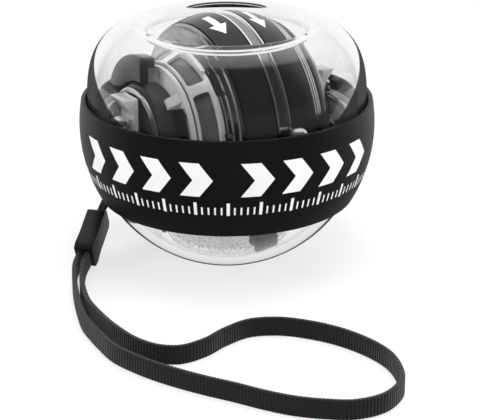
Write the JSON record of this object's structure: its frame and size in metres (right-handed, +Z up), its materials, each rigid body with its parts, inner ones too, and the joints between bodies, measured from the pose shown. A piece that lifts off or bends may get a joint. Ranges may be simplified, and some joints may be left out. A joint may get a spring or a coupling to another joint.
{
  "type": "gyroscopic wrist ball",
  "caption": "Palm-sized gyroscopic exercise ball: a spring-started rotor spins and precesses in a clear shell with a black grip band, open on top for the thumb, with a wrist lanyard.",
  "frame": {"origin": "centre of the flat foot, on the surface that the ball stands on", "axes": "+Z up through the thumb opening; the picture looks along +Y; the rotor's axle lies 30 degrees from +X towards +Y at rest"},
  "size_m": [0.0738, 0.128, 0.0601],
  "materials": {
    "clear_shell": "clear, polished",
    "frosted_disc": "frosted, faintly speckled",
    "grip_rubber": "matte black with white print",
    "black_plastic": "satin",
    "clear_block": "clear",
    "dark_drum": "satin dark grey",
    "light_plate": "satin light grey",
    "smoke_cover": "gloss, smoked",
    "rotor_cover": "gloss black with plain white arrows",
    "bright_trim": "bright plated",
    "bright_steel": "bright",
    "steel": "turned",
    "lanyard_cord": "braided nylon",
    "strap_webbing": "woven nylon with fine cross ribs"
  },
  "bodies": {
    "housing": {"upper_shell": "clear_shell", "lower_shell": "clear_shell", "grip_band": "grip_rubber", "base_plate": "clear_shell", "base_disc": "frosted_disc", "base_clip_1": "black_plastic", "base_clip_2": "black_plastic", "base_clip_3": "black_plastic", "race_screw_1": "bright_steel", "race_screw_2": "bright_steel", "race_screw_3": "bright_steel", "race_screw_4": "bright_steel", "cord_knot": "lanyard_cord", "lanyard_cord": "lanyard_cord", "wrist_strap": "strap_webbing", "lanyard_crimp": "black_plastic"},
    "guide_ring": {"guide_ring": "black_plastic", "bearing_block_left": "clear_block", "bearing_block_right": "clear_block", "spring_drum": "dark_drum", "drum_rim": "bright_trim", "drum_hood": "black_plastic", "mainspring": "steel"},
    "rotor": {"axle": "steel", "rotor_core": "steel", "centre_ring": "bright_trim", "rotor_band_left": "rotor_cover", "rotor_band_right": "rotor_cover", "shoulder_trim": "bright_trim", "flank_ring": "smoke_cover", "end_frame": "light_plate", "end_cap_left": "dark_drum", "end_cap_right": "smoke_cover", "spacer_right": "steel"},
    "starter": {"starter_plate": "light_plate", "starter_pawl_1": "black_plastic", "starter_pawl_2": "black_plastic", "pawl_spring_1": "bright_steel", "pawl_spring_2": "bright_steel"}
  },
  "joints": [
    {"name": "ring_precession", "type": "hinge", "parent": "housing", "child": "guide_ring", "pos_m": [0, 0, 0.03312], "axis": [0, 0, 1], "continuous": true},
    {"name": "rotor_spin", "type": "hinge", "parent": "guide_ring", "child": "rotor", "pos_m": [0, 0, 0.03312], "axis": [0.866, 0.5, 0], "continuous": true},
    {"name": "starter_wind", "type": "hinge", "parent": "guide_ring", "child": "starter", "pos_m": [0, 0, 0.03312], "axis": [0.866, 0.5, 0], "range_deg": [0, 900], "stiffness_Nm_per_rad": 0.0008, "springref_deg": -114.59}
  ]
}
